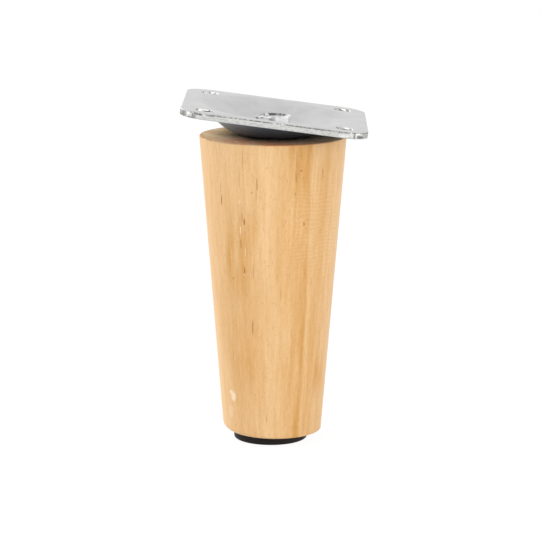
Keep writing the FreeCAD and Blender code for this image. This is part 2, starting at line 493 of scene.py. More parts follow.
def band(tree, name, angle, height):
    """1 inside the band of that name, and 0 outside it."""
    left, right, left_soft, right_soft = (math.radians(value) for value in BANDS[name])
    rising = step_up(tree, angle, left - left_soft, left + left_soft)
    falling = step_up(tree, angle, right + right_soft, right - right_soft)
    inside = times(tree, rising, falling)
    if name in BAND_HEIGHTS:
        low, high, soft = (value * MM for value in BAND_HEIGHTS[name])
        inside = times(tree, inside, between(tree, height, low, high, soft))
    return inside


def ripples(tree, place, height):
    """Waves that run up the leg, bent out of step by noise."""
    bends = [scaled_noise(tree, place, scale, share) for scale, share in RIPPLE_BENDS]
    return calc(tree, "SINE", add_up(tree, times(tree, height, RIPPLES_PER_METRE * math.tau), *bends))


def dark_tone(tree, place):
    """How dark the wood is, from 0 to 1: the growth layers, the grain and the bands."""
    x, y, z = add_node(tree, "SeparateXYZ", {0: place}).outputs[:3]
    straight = calc(tree, "ARCTAN2", x, times(tree, y, -1.0))
    angle = calc(tree, "ADD", straight, scaled_noise(tree, place, BAND_WAVERS_PER_METRE, BAND_WAVER))
    leaning = calc(tree, "MULTIPLY_ADD", z, -FLAME_LEAN, calc(tree, "ADD", angle, FLAME_START))
    angles = {"flame": leaning, "ripple": straight, "side_patch": straight}
    parts = {name: band(tree, name, angles.get(name, angle), z) for name in BANDS}

    streaks = noise(tree, place, STREAKS_PER_METRE)
    patchy = step_up(tree, streaks, STREAKS_START, STREAKS_FULL)
    parts["layers"] = about_zero(tree, growth_layers(tree, place))
    parts["streaks"] = about_zero(tree, streaks)
    parts["band_streaks"] = times(tree, parts["dark_band"], patchy)
    above = step_up(tree, z, BAND_TOP_START, BAND_TOP_FULL)
    parts["band_top"] = times(tree, parts["dark_band"], above)
    below = step_up(tree, z, PALE_LINE_END, PALE_LINE_FULL)
    parts["pale_line"] = times(tree, parts["pale_line"], below)
    parts["flame"] = times(tree, parts["flame"], patchy)
    parts["ripple"] = times(tree, parts["ripple"], ripples(tree, place, z))

    shares = [times(tree, parts[name], share) for name, share in TONE_SHARES.items()]
    grain = [scaled_noise(tree, place, *size) for size in GRAIN_NOISES]
    return add_up(tree, MIDDLE_TONE, *shares, *grain)


print("the tone adds up", len(TONE_SHARES) + len(GRAIN_NOISES), "parts")

# %% [markdown]
# ## End grain
# A cut across the fibres drinks up much more of the finish, so the leg's two ends are browner than its side,
# blotched and full of dark specks. Their colours are painted paler all the same, as painted light for the top
# that the plate shades. The same growth layers run through them, and a reddish stain lies on the front of the
# top, partly where it soaked up most and partly as painted shade under the plate.

# %% End grain
# The end grain's pale colours are painted lighter, as painted light that makes up for the plate's shade over
# the top.
END_PALE, END_BROWN = paint(255, 228, 176), paint(242, 196, 138)
END_RED, END_DARK, END_RIM = paint(246, 130, 48), paint(126, 76, 46), paint(206, 150, 108)
END_RED_SHARE, END_SPECK_SHARE, END_RIM_SHARE = 0.6, 0.45, 0.5
END_RIM_START, END_RIM_FULL = 1.8 * MM, 0.8 * MM
END_MOTTLE_PER_METRE, END_REDS_PER_METRE = (230, 420, 60), (90, 240, 90)
END_PATCHES_PER_METRE, END_SPECKS_PER_METRE = (220, 620, 200), 1300
SOAKED_AND_SHADED_DEPTH = 3
# Reddish places on the top: partly a stain in the wood, partly painted shade under the plate.
SOAKED_AND_SHADED_PLACES = [(-8, -17, 11, 8, 0.9), (4, -21, 14, 8, 0.9), (18, -14, 8, 7, 0.3), (-20, -8, 5, 5, 0.3)]


def spot_on_top(x, y, half_width, half_depth, strength):
    """The place, half size and strength of a mark on the leg's top, from millimetres."""
    half_size = Vector((half_width, half_depth, SOAKED_AND_SHADED_DEPTH)) * MM
    return Vector((x * MM, y * MM, leg_high.z)), half_size, strength


def end_grain(tree, place):
    """The colour of the two cut ends, painted paler as painted light: rings and blotches that soaked up more
    of the finish, and a reddish front that is partly painted shade.
    """
    mottle = noise(tree, place, END_MOTTLE_PER_METRE, 4.0, 0.6)
    brown = step_up(tree, calc(tree, "ADD", growth_layers(tree, place), mottle), 0.82, 1.2)
    colour = mix_colours(tree, brown, END_PALE, END_BROWN)
    red = step_up(tree, noise(tree, place, END_REDS_PER_METRE, 3.0), 0.52, 0.68)
    colour = mix_colours(tree, times(tree, red, END_RED_SHARE), colour, END_RED)
    # A reddish stain, laid darker at the front as painted shade.
    soaked_and_shaded = marks(tree, place, [spot_on_top(*size) for size in SOAKED_AND_SHADED_PLACES])
    patchy = step_up(tree, noise(tree, place, END_PATCHES_PER_METRE, 3.0), 0.3, 0.62)
    colour = mix_colours(tree, times(tree, soaked_and_shaded, patchy), colour, END_RED)
    specks = step_up(tree, noise(tree, place, END_SPECKS_PER_METRE), 0.55, 0.7)
    colour = mix_colours(tree, times(tree, specks, END_SPECK_SHARE), colour, END_DARK)
    reach = vector_calc(tree, "LENGTH", vector_calc(tree, "MULTIPLY", place, LEVEL)["Vector"])["Value"]
    rim = step_up(tree, reach, leg_top_radius - END_RIM_START, leg_top_radius - END_RIM_FULL)
    return mix_colours(tree, times(tree, rim, END_RIM_SHARE), colour, END_RIM)


print("end grain has", len(SOAKED_AND_SHADED_PLACES), "soaked places")

# %% [markdown]
# ## Wood finish
# The side of the leg is only lightly finished: satin, with fibres that can be felt, small brown pores and the
# marks of handling. The material mixes the two wood colours by the tone, lays pores, flecks and scuffs over
# them, and shows the end grain where the height says that the surface is a cut end. A thin coat and a little
# sheen give the pale edge that fine wood fibres have against the light.

# %% Wood finish
WOOD_PALE, WOOD_DARK = paint(246, 208, 157), paint(213, 156, 80)
FLECK_BROWN, SCUFF_WHITE = paint(160, 92, 42), paint(252, 228, 200)
SHEEN_PALE = paint(226, 214, 196)
# On the leg's front, in millimetres: x, height, half width, half height, and a strength from 0 to 1.
DARK_FLECKS = [
    (-5.6, 103.3, 0.2, 2.6, 0.7), (-5.9, 99.0, 0.16, 2.6, 0.4), (-19.0, 96.2, 0.24, 2.2, 0.7),
    (-19.3, 101.0, 0.16, 2.2, 0.4), (8.9, 106.3, 0.22, 2.4, 0.7), (9.2, 112.0, 0.16, 4.2, 0.5),
    (10.9, 108.4, 0.35, 0.35, 0.8), (-10.4, 88.8, 0.3, 1.3, 0.8), (-11.2, 90.6, 0.2, 1.8, 0.6),
    (-10.2, 69.8, 0.26, 1.6, 0.7), (11.9, 88.0, 0.28, 0.9, 0.8), (-7.2, 47.8, 0.2, 3.2, 0.7),
    (-7.0, 69.5, 0.18, 2.8, 0.5), (18.8, 106.5, 0.2, 2.6, 0.4), (-11.0, 112.0, 0.2, 4.0, 0.35),
    (-12.2, 104.6, 0.16, 3.0, 0.35), (-7.6, 100.2, 0.3, 0.3, 0.6), (3.4, 61.0, 0.16, 2.4, 0.35),
    (-14.6, 66.5, 0.25, 0.6, 0.4), (8.7, 99.6, 0.2, 0.8, 0.5), (-11.6, 80.4, 0.2, 2.4, 0.5),
]
PALE_SCUFFS = [
    (-14.7, 19.3, 1.2, 1.9, 0.8), (-15.5, 20.7, 0.9, 1.0, 0.7), (-15.7, 13.0, 1.2, 2.8, 0.3),
    (-11.8, 85.6, 0.22, 1.6, 0.7), (-9.9, 77.4, 0.16, 2.2, 0.5), (-12.1, 96.5, 0.4, 0.8, 0.35),
    (-10.4, 68.4, 0.4, 0.4, 0.4),
]
# Round and long pores: how many to the metre along each axis, and the noise at which they start and are full.
PORES = [((2400, 2400, 1100), 0.62, 0.8), ((1300, 1300, 120), 0.7, 0.84)]
PORE_SHARE = 0.4
TOP_END_START, TOP_END_FULL = 0.45 * MM, 0.25 * MM
FOOT_END_START, FOOT_END_FULL = 0.2 * MM, 0.05 * MM
FIBRES_PER_METRE = (900, 900, 11)
WOOD_ROUGHNESS = {"To Min": 0.4, "To Max": 0.56}
WOOD_GLOSS = {
    "Specular IOR Level": 0.45, "Coat Weight": 0.1, "Coat Roughness": 0.4,
    "Sheen Weight": 0.1, "Sheen Roughness": 0.4, "Sheen Tint": SHEEN_PALE,
}
FIBRE_RELIEF, FLECK_RELIEF, WOOD_RELIEF = 0.3, 0.4, 0.03 * MM


def wood_finish():
    material, tree, shader = new_finish("pale_hardwood")
    place = object_place(tree)
    colour = mix_colours(tree, dark_tone(tree, place), WOOD_PALE, WOOD_DARK)
    for scale, start, full in PORES:
        pores = step_up(tree, noise(tree, place, scale, 1.0), start, full)
        colour = mix_colours(tree, times(tree, pores, PORE_SHARE), colour, FLECK_BROWN)
    flecks = marks(tree, place, [spot_on_leg(*size) for size in DARK_FLECKS])
    mark_mask = marks(tree, place, [spot_on_leg(*size) for size in PALE_SCUFFS])
    colour = mix_colours(tree, flecks, colour, FLECK_BROWN)
    colour = mix_colours(tree, mark_mask, colour, SCUFF_WHITE)

    height = add_node(tree, "SeparateXYZ", {0: place}).outputs["Z"]
    at_top = step_up(tree, height, leg_high.z - TOP_END_START, leg_high.z - TOP_END_FULL)
    at_foot = step_up(tree, height, leg_low.z + FOOT_END_START, leg_low.z + FOOT_END_FULL)
    at_end = calc(tree, "MAXIMUM", at_top, at_foot)
    colour = mix_colours(tree, at_end, colour, end_grain(tree, place))
    tree.links.new(colour, shader.inputs["Base Color"])

    fibres = noise(tree, place, FIBRES_PER_METRE, 4.0)
    roughness = add_node(tree, "MapRange", {"Value": fibres, **WOOD_ROUGHNESS}).outputs["Result"]
    tree.links.new(calc(tree, "MAXIMUM", roughness, at_end), shader.inputs["Roughness"])
    for socket, value in WOOD_GLOSS.items():
        shader.inputs[socket].default_value = value
    hills, dents = times(tree, fibres, FIBRE_RELIEF), times(tree, flecks, FLECK_RELIEF)
    roughen(tree, shader, calc(tree, "SUBTRACT", hills, dents), WOOD_RELIEF)
    return material


hardwood = wood_finish()
print("wood finish uses", len(hardwood.node_tree.nodes), "nodes")

# %% [markdown]
# ## Turned leg
# On the real object this is one turning: a straight taper with a bore in its top for the insert nut and the
# bolt. The outline below runs from the bottom of the bore, out over the top and down to the foot, and spin
# turns it into the leg. The foot's edge was sanded by hand, much more on one side than on the other, so a
# Bevel modifier rounds it by a weight that each edge carries.

# %% Turned leg
INSERT_BORE_RADIUS, INSERT_BORE_BOTTOM = 6.55 * MM, 93.0 * MM
BOLT_BORE_RADIUS, BOLT_BORE_BOTTOM = 4.3 * MM, 84.8 * MM
NAIL_BORE_RADIUS, NAIL_POINT_HEIGHT, NAIL_TIP_HEIGHT = 1.15 * MM, 19.45 * MM, 23.45 * MM
NAIL_TIP_RADIUS = 0.35 * MM
FOOT_FLAT_RADIUS = 10 * MM
FOOT_ARRIS, FOOT_ARRIS_LEAST = 3.2 * MM, 0.3 * MM
TOP_ARRIS = 0.5 * MM
ARRIS_SEGMENTS = 8
NAIL_SEGMENTS = 36

bm = bmesh.new()
glide_low, glide_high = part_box("foot_glide")
glide_centre_x = (glide_low.x + glide_high.x) / 2
turn_outline(bm, [
    (0, BOLT_BORE_BOTTOM),
    (BOLT_BORE_RADIUS, BOLT_BORE_BOTTOM),
    (BOLT_BORE_RADIUS, INSERT_BORE_BOTTOM),
    (INSERT_BORE_RADIUS, INSERT_BORE_BOTTOM),
    (INSERT_BORE_RADIUS, leg_high.z),
    (leg_top_radius, leg_high.z),
    (FOOT_RADIUS, leg_low.z),
    (FOOT_FLAT_RADIUS, leg_low.z),
])
nail_mouth = Matrix.Translation((glide_centre_x, 0, leg_low.z))
bmesh.ops.create_circle(bm, segments=NAIL_SEGMENTS, radius=NAIL_BORE_RADIUS, matrix=nail_mouth)
mouth = ring_edges(bm, NAIL_BORE_RADIUS, leg_low.z, glide_centre_x)
bmesh.ops.bridge_loops(bm, edges=mouth + ring_edges(bm, FOOT_FLAT_RADIUS, leg_low.z))
mouth = grow_ring(bm, mouth, Matrix.Translation((0, 0, NAIL_POINT_HEIGHT - leg_low.z)))
tip_place = Matrix.Translation((glide_centre_x, 0, NAIL_TIP_HEIGHT))
narrow = Matrix.Diagonal((NAIL_TIP_RADIUS / NAIL_BORE_RADIUS, NAIL_TIP_RADIUS / NAIL_BORE_RADIUS, 1, 1))
back = Matrix.Translation((-glide_centre_x, 0, -NAIL_POINT_HEIGHT))
mouth = grow_ring(bm, mouth, tip_place @ narrow @ back)
bmesh.ops.edgeloop_fill(bm, edges=mouth)

weight = bm.edges.layers.float.new("bevel_weight_edge")
for edge in ring_edges(bm, FOOT_RADIUS, leg_low.z):
    towards_worn_side = 0.5 - (edge.verts[0].co.x + edge.verts[1].co.x) / (4 * FOOT_RADIUS)
    edge[weight] = (FOOT_ARRIS_LEAST + (FOOT_ARRIS - FOOT_ARRIS_LEAST) * towards_worn_side ** 2) / FOOT_ARRIS
for edge in ring_edges(bm, leg_top_radius, leg_high.z):
    edge[weight] = TOP_ARRIS / FOOT_ARRIS
turned_leg = finish_piece(bm, "turned_leg", "wooden_leg", [hardwood])
arris = soften(turned_leg, FOOT_ARRIS, ARRIS_SEGMENTS)
arris.limit_method = "WEIGHT"

# %% [markdown]
# ## Glide
# The glide is a moulded disc of black plastic that is nailed to the foot, a little off centre. It is spun
# from a square outline, and both its edges are then rounded. Its finish is a fine matte, as plastic comes
# out of an eroded mould.

# %% Glide
GLIDE_EDGE_RADIUS = 0.7 * MM
GLIDE_SEGMENTS = 5
NAIL_HEAD_RADIUS, NAIL_HEAD_LOW, NAIL_HEAD_HIGH = 4.5 * MM, 1.4 * MM, 2.4 * MM
NAIL_RADIUS = 1.1 * MM
PLASTIC_BLACK, PLASTIC_HANDLED = paint(23, 18, 16), paint(34, 28, 25)
PLASTIC_GRAIN_PER_METRE, PLASTIC_HANDLED_PER_METRE = 2600, 160
PLASTIC_ROUGHNESS, PLASTIC_GLOSS = {"To Min": 0.48, "To Max": 0.7}, 0.2
PLASTIC_RELIEF = 0.03 * MM


def moulded_black():
    material, tree, shader = new_finish("moulded_black")
    place = object_place(tree)
    grain = noise(tree, place, PLASTIC_GRAIN_PER_METRE)
    handled = step_up(tree, noise(tree, place, PLASTIC_HANDLED_PER_METRE, 3.0), 0.35, 0.75)
    colour = mix_colours(tree, handled, PLASTIC_BLACK, PLASTIC_HANDLED)
    tree.links.new(colour, shader.inputs["Base Color"])
    roughness = add_node(tree, "MapRange", {"Value": grain, **PLASTIC_ROUGHNESS}).outputs["Result"]
    tree.links.new(roughness, shader.inputs["Roughness"])
    shader.inputs["Specular IOR Level"].default_value = PLASTIC_GLOSS
    roughen(tree, shader, grain, PLASTIC_RELIEF)
    return material


bm = bmesh.new()
glide_radius = (glide_high.x - glide_low.x) / 2
turn_outline(bm, [
    (0, glide_low.z),
    (glide_radius, glide_low.z),
    (glide_radius, glide_high.z),
    (NAIL_RADIUS, glide_high.z),
    (NAIL_RADIUS, NAIL_HEAD_HIGH),
    (NAIL_HEAD_RADIUS, NAIL_HEAD_HIGH),
    (NAIL_HEAD_RADIUS, NAIL_HEAD_LOW),
    (0, NAIL_HEAD_LOW),
], glide_centre_x)
for edge_height in (glide_low.z, glide_high.z):
    rim = ring_edges(bm, glide_radius, edge_height, glide_centre_x)
    round_edges(bm, rim, GLIDE_EDGE_RADIUS, GLIDE_SEGMENTS)
finish_piece(bm, "round_glide", "foot_glide", [moulded_black()])

# %% [markdown]
# ## Zinc finishes
# Plate, bolt, nail and insert nut are steel with a thin coat of zinc. Such a coat is metallic and satin, and
# it is never quite even: it has soft clouds, small darker spots and fine rubbing marks. That unevenness is
# one node group, which each metal finish places with its own values. The plate's underside is a darker,
# bluish copy of the zinc as painted shade, with a painted shadow where the bowl meets the leg. The bolt is
# painted near white as a painted highlight, with dark spots of painted shade and painted dark reflection on
# its head.

# %% Zinc finishes
ZINC_GREY, ZINC_DULL = paint(203, 203, 203), paint(195, 195, 195)
# The bolt's near-white zinc is a painted highlight, standing in for bright reflections on its facets.
ZINC_BRIGHT, ZINC_PALE = paint(252, 252, 252), paint(228, 228, 228)
# The underside's darker, bluish zinc is painted shade.
ZINC_SHADED, ZINC_SHADED_DEEP = paint(172, 186, 198), paint(158, 172, 184)
# Dark greys: the first darkens the bolt's head as painted shade and painted dark reflection, the second is a
# painted shadow on the underside.
SHADE_MARK_GREY, CONTACT_SHADE_GREY = paint(92, 92, 92), paint(72, 84, 94)
# Where that painted shadow is darkest, how far it reaches and how dark it gets, near where the bowl meets the
# leg.
CONTACT_SHADE_PLACE, CONTACT_SHADE_REACH, CONTACT_SHADE_SHARE = Vector((8, -14, 120)) * MM, 34 * MM, 0.9
CONTACT_SHADE_FULL = 0.4 * CONTACT_SHADE_REACH
ZINC_SPOTS_PER_METRE, ZINC_SPOT_SHARE = 900, 0.35
RUBBING_PER_METRE, RUBBING_DEPTH = (250, 2600, 2600), 0.01 * MM
# Dark spots on the bolt's head are painted shade and painted dark reflection: a crescent in the dished top
# and darker facets.
# From the middle of the bolt's top, in millimetres: x, y, height, half sizes, and a strength from 0 to 1.
BOLT_SHADE_MARKS = [
    (-0.4, 5.3, -0.3, 2.6, 0.8, 0.9, 1.0), (2.4, 4.7, -0.3, 1.8, 0.9, 0.8, 0.95),
    (4.2, 3.4, -0.3, 1.4, 1.0, 0.7, 0.85), (0.2, -5.8, -0.3, 0.6, 0.9, 0.7, 0.9),
    (-0.3, -7.0, -1.8, 1.4, 1.2, 2.6, 0.6), (-5.3, -0.8, 0.0, 1.3, 2.6, 0.7, 0.75),
    (-3.0, -4.7, -0.4, 1.7, 0.8, 0.45, 0.65), (-6.0, -3.2, -1.6, 1.0, 2.0, 2.6, 0.75),
    (6.2, -3.4, -1.8, 0.6, 1.5, 2.4, 0.4), (-3.9, 3.4, 0.0, 2.3, 2.2, 0.6, 0.6),
    (5.2, 1.6, 0.0, 1.0, 2.4, 0.6, 0.5), (2.5, -5.4, -0.3, 0.8, 0.7, 0.5, 0.5),
    (-3.0, 4.5, -0.3, 1.3, 1.1, 0.9, 0.8), (-1.6, -3.6, -0.6, 0.8, 0.9, 0.5, 0.5),
    (-4.7, -2.9, 0.0, 1.2, 1.0, 0.6, 0.6), (-2.2, -5.1, 0.0, 0.8, 0.8, 0.6, 0.65),
    (1.0, -5.9, -0.2, 0.8, 0.6, 0.6, 0.6),
]
bolt_low, bolt_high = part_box("hex_bolt")


def spot_on_bolt(x, y, height, half_x, half_y, half_z, strength):
    """The place, half size and strength of a mark on the bolt's head, from millimetres."""
    top = Vector((0, 0, bolt_high.z))
    return top + Vector((x, y, height)) * MM, Vector((half_x, half_y, half_z)) * MM, strength


def zinc_clouds_group():
    group = bpy.data.node_groups.new("zinc_clouds", "ShaderNodeTree")
    group.interface.new_socket("Vector", in_out="INPUT", socket_type="NodeSocketVector")
    group.interface.new_socket("Clouds per metre", in_out="INPUT", socket_type="NodeSocketFloat")
    group.interface.new_socket("Dullness", in_out="OUTPUT", socket_type="NodeSocketFloat")
    group.interface.new_socket("Rubbing", in_out="OUTPUT", socket_type="NodeSocketFloat")
    ends = group.nodes.new("NodeGroupInput").outputs
    clouds = noise(group, ends["Vector"], ends["Clouds per metre"], 4.0, 0.55)
    spots = step_up(group, noise(group, ends["Vector"], ZINC_SPOTS_PER_METRE), 0.62, 0.78)
    dull = calc(group, "MULTIPLY_ADD", spots, ZINC_SPOT_SHARE, step_up(group, clouds, 0.35, 0.68))
    result = group.nodes.new("NodeGroupOutput")
    group.links.new(dull, result.inputs["Dullness"])
    group.links.new(noise(group, ends["Vector"], RUBBING_PER_METRE), result.inputs["Rubbing"])
    return group


zinc_clouds = zinc_clouds_group()


def place_zinc_clouds(tree, place, clouds_per_metre):
    made = tree.nodes.new("ShaderNodeGroup")
    made.node_tree = zinc_clouds
    tree.links.new(place, made.inputs["Vector"])
    made.inputs["Clouds per metre"].default_value = clouds_per_metre
    return made.outputs


def zinc_finish(name, colours, roughness, clouds_per_metre, metallic=1.0, shade_marks=None, contact_shade=0.0):
    """Zinc with a bright and a dull colour, a least and a most roughness, and painted shade and dark
    reflections where they are asked for.
    """
    material, tree, shader = new_finish(name)
    place = object_place(tree)
    zinc = place_zinc_clouds(tree, place, clouds_per_metre)
    colour = mix_colours(tree, zinc["Dullness"], *colours)
    if shade_marks:
        # Painted shade and painted dark reflection, as dark spots where they are asked for.
        colour = mix_colours(tree, marks(tree, place, shade_marks), colour, SHADE_MARK_GREY)
    if contact_shade:
        # Painted shadow: darker towards a place near where the bowl meets the leg.
        reach = vector_calc(tree, "DISTANCE", place, CONTACT_SHADE_PLACE)["Value"]
        shaded_near_leg = times(tree, step_up(tree, reach, CONTACT_SHADE_REACH, CONTACT_SHADE_FULL), contact_shade)
        colour = mix_colours(tree, shaded_near_leg, colour, CONTACT_SHADE_GREY)
    tree.links.new(colour, shader.inputs["Base Color"])
    inputs = {"Value": zinc["Rubbing"], "To Min": roughness[0], "To Max": roughness[1]}
    tree.links.new(add_node(tree, "MapRange", inputs).outputs["Result"], shader.inputs["Roughness"])
    shader.inputs["Metallic"].default_value = metallic
    roughen(tree, shader, zinc["Rubbing"], RUBBING_DEPTH)
    return material


# The second pair is the underside's darker, bluish zinc, which is painted shade.
even_zinc, shaded_zinc = (ZINC_GREY, ZINC_DULL), (ZINC_SHADED, ZINC_SHADED_DEEP)
bolt_shade_marks = [spot_on_bolt(*size) for size in BOLT_SHADE_MARKS]
plate_zinc = zinc_finish("plate_zinc", even_zinc, (0.3, 0.45), 160)
# The underside: a darker copy of the zinc and a painted shadow, both painted shade.
underside_zinc = zinc_finish("underside_zinc", shaded_zinc, (0.4, 0.55), 120, metallic=0.2, contact_shade=CONTACT_SHADE_SHARE)
# Near white and half diffuse, as a painted highlight on the bolt.
bolt_zinc = zinc_finish("bolt_zinc", (ZINC_BRIGHT, ZINC_PALE), (0.15, 0.28), 300, metallic=0.5,
                        shade_marks=bolt_shade_marks)
hidden_finishes = {
    "glide_nail": zinc_finish("nail_steel", even_zinc, (0.25, 0.4), 600),
    "threaded_insert": zinc_finish("insert_zinc", even_zinc, (0.3, 0.5), 400),
}
for node, finish in hidden_finishes.items():
    node_materials = frame["nodes"][node].data.materials
    node_materials.clear()
    node_materials.append(finish)
# The dark spots counted on the bolt are painted shade and painted dark reflection.
print("zinc finishes made, with", len(bolt_shade_marks), "stains on the bolt")

# %% [markdown]
# ## Sheared edge
# The plate was cut out of a sheet by a punch. Its edge is torn and rough, with dark pits, and its upper arris
# is rolled, with dashes of painted dark reflection along it. White spots of painted highlight lie on the
# corners, the front edge and in the screw holes, with dark spots of painted shade and painted dark reflection
# beside them. The bands are drawn by the height above the plate's underside, for which a Mapping node turns
# the coordinates level with the inclined plate.

# %% Sheared edge
mounts = {mount["name"]: mount for mount in frame["record"]["mounts"]}
plate_axis = Vector(mounts["plate_screws"]["axis"])
splay = math.atan2(plate_axis.x, plate_axis.z)
screw_centre = Vector(mounts["plate_screws"]["pos_m"])
seat_centre = screw_centre - plate_axis * ((screw_centre.z - leg_high.z) / plate_axis.z)
# The dark colour serves the torn edge's pits, and also painted shade and painted dark reflection; the white
# is painted highlight.
SHEARED_BRIGHT, SHEARED_WHITE, SHEARED_DARK = paint(213, 213, 210), paint(255, 255, 253), paint(80, 80, 79)
SHEARED_ROUGHNESS, TORN_DEPTH = 0.4, 0.1 * MM
# The dashes along the upper arris are painted dark reflection of the rounded arris; the pits are the torn
# edge.
TORN_PER_METRE, ARRIS_DASHES_PER_METRE = (1100, 1100, 2600), (1700, 1700, 500)
ARRIS_DASH_SHARE, PIT_SHARE = 0.74, 0.45
ARRIS_LOW, ARRIS_HIGH, ARRIS_SOFT = 1.95 * MM, 2.35 * MM, 0.14 * MM
# On the plate's own plane, in millimetres: x, y, height, half length, half height, and a strength.
# Dark spots that are painted shade and painted dark reflection: in the screw holes, on the rounded corners
# and along the front arris.
EDGE_PAINTED_SHADE = [
    (-29.5, -34.1, 1.3, 0.9, 1.4, 0.55), (-27.6, -34.8, 1.9, 1.3, 0.4, 0.8),
    (-23.4, -35.0, 1.9, 2.0, 0.3, 0.55), (-30.6, -33.6, 0.2, 1.8, 0.35, 0.7),
    (32.0, -32.4, 0.8, 2.0, 0.6, 0.75), (29.8, -34.0, 1.2, 0.5, 1.2, 0.6),
    (-34.4, -29.4, 1.5, 3.6, 2.2, 0.6), (34.4, -29.2, 1.6, 3.2, 1.4, 0.3),
    (-24.7, -23.1, 1.7, 2.0, 0.3, 1.0), (-23.0, -24.6, 2.0, 0.9, 0.4, 0.9),
    (-29.0, -24.6, 2.0, 0.5, 0.6, 0.6), (-23.6, 28.4, 1.65, 1.9, 0.35, 1.0),
    (25.2, 28.8, 1.65, 2.0, 0.3, 0.8), (28.6, 27.6, 1.7, 0.9, 0.5, 0.8), (23.6, -24.0, 1.6, 1.3, 0.6, 0.9),
    (26.4, -22.9, 1.65, 2.4, 0.3, 0.8), (12.0, -35.0, 2.1, 7.0, 0.28, 0.4),
    (22.0, -35.0, 2.05, 5.0, 0.3, 0.3), (-20.0, -35.0, 2.0, 5.0, 0.3, 0.3),
    (-6.0, -35.0, 2.1, 5.0, 0.25, 0.4),
]
# White spots that are painted highlights and glints: on the near-left corner, the front edge and the walls of
# the screw holes.
EDGE_PAINTED_HIGHLIGHTS = [
    (-32.0, -32.4, 1.6, 1.3, 0.6, 1.0), (26.0, -35.0, 0.9, 2.4, 0.5, 0.45),
    (-26.6, -22.8, 2.1, 2.2, 0.4, 0.7), (-24.6, 28.9, 2.1, 1.2, 0.35, 0.9),
    (26.6, 29.0, 2.1, 1.0, 0.35, 1.0), (26.8, -22.9, 2.1, 1.8, 0.35, 0.8),
]
PLATE_THICKNESS = 2.5 * MM
plate_rise = (screw_centre - seat_centre).length - PLATE_THICKNESS
plate_plane = Matrix.Translation(seat_centre + plate_axis * plate_rise) @ Matrix.Rotation(splay, 4, "Y")


def spot_on_edge(x, y, height, half_length, half_height, strength):
    """The place, half size and strength of a mark on the edge, from millimetres on the plate's own plane."""
    return Vector((x, y, height)) * MM, Vector((half_length, half_length, half_height)) * MM, strength


def sheared_zinc():
    material, tree, shader = new_finish("sheared_zinc")
    place = object_place(tree)
    off_plane = mapped(tree, place, place=-plate_plane.translation)
    on_plane = mapped(tree, off_plane, turn=(0, -splay, 0))
    height = add_node(tree, "SeparateXYZ", {0: on_plane}).outputs["Z"]
    torn = noise(tree, on_plane, TORN_PER_METRE, 3.0, 0.7)
    dashes = step_up(tree, noise(tree, on_plane, ARRIS_DASHES_PER_METRE, 1.0), 0.4, 0.52)
    # Painted dark reflection, in dashes along the upper arris.
    mark_mask = times(tree, between(tree, height, ARRIS_LOW, ARRIS_HIGH, ARRIS_SOFT), dashes)
    pits = step_up(tree, torn, 0.5, 0.66)
    dark = calc(tree, "MAXIMUM", times(tree, mark_mask, ARRIS_DASH_SHARE), times(tree, pits, PIT_SHARE))
    # Painted highlights and glints on the edge and in the screw holes.
    highlights = marks(tree, on_plane, [spot_on_edge(*size) for size in EDGE_PAINTED_HIGHLIGHTS])
    # Painted shade and painted dark reflection on the edge and in the screw holes.
    edge_shade = marks(tree, on_plane, [spot_on_edge(*size) for size in EDGE_PAINTED_SHADE])
    colour = mix_colours(tree, dark, SHEARED_BRIGHT, SHEARED_DARK)
    colour = mix_colours(tree, highlights, colour, SHEARED_WHITE)
    tree.links.new(mix_colours(tree, edge_shade, colour, SHEARED_DARK), shader.inputs["Base Color"])
    shader.inputs["Metallic"].default_value = 1.0
    shader.inputs["Roughness"].default_value = SHEARED_ROUGHNESS
    roughen(tree, shader, torn, TORN_DEPTH)
    return material


plate_edge_zinc = sheared_zinc()
print("plate inclined by", round(math.degrees(splay), 2), "degrees")

# %% [markdown]
# ## Pressed plate
# The real plate is one piece of sheet steel: a square with rounded corners and four screw holes, pressed
# into a bowl whose bottom lies level on the leg while the square itself is inclined. It is drawn here as a
# sheet with no thickness, its underside. Rings are extruded from the bolt hole outwards, the creases of the
# bowl are bevelled into bends, the flat is filled between the outlines, and a Solidify modifier makes it
# 2.5 mm thick.

# %% Pressed plate
PLATE_CORNER_RADIUS = 9.5 * MM
BOLT_HOLE_RADIUS = 4.5 * MM
BOWL_SEAT_RADIUS, BOWL_RIM_RADIUS, BOWL_BORDER_RADIUS = 14.7 * MM, 27.9 * MM, 33.08 * MM
SEAT_BEND_RADIUS, RIM_BEND_RADIUS = 16.7 * MM, 16.75 * MM
BEND_REACH = 8.0 * MM
BEND_SEGMENTS = 12
BOWL_STEPS = 160
HOLE_STEPS = 40
CORNER_STEPS = 14
EDGE_STRIP = 0.8 * MM
HOLE_STRIP = 0.35 * MM
PLATE_ARRIS, PLATE_ARRIS_SEGMENTS, PLATE_ARRIS_ANGLE = 0.4 * MM, 3, 60.0


def scaled_on(base, factor):
    """Scaling about a matrix's own origin, in its own axes."""
    return base @ Matrix.Diagonal((factor, factor, factor, 1)) @ base.inverted()


def punched_circle(bm, radius, base, steps, strip):
    """A hole's edge with a ring of faces round it; gives the ring's outer edges."""
    verts = bmesh.ops.create_circle(bm, segments=steps, radius=radius, matrix=base)["verts"]
    edges = list({edge for vert in verts for edge in vert.link_edges})
    return grow_ring(bm, edges, scaled_on(base, (radius + strip) / radius))


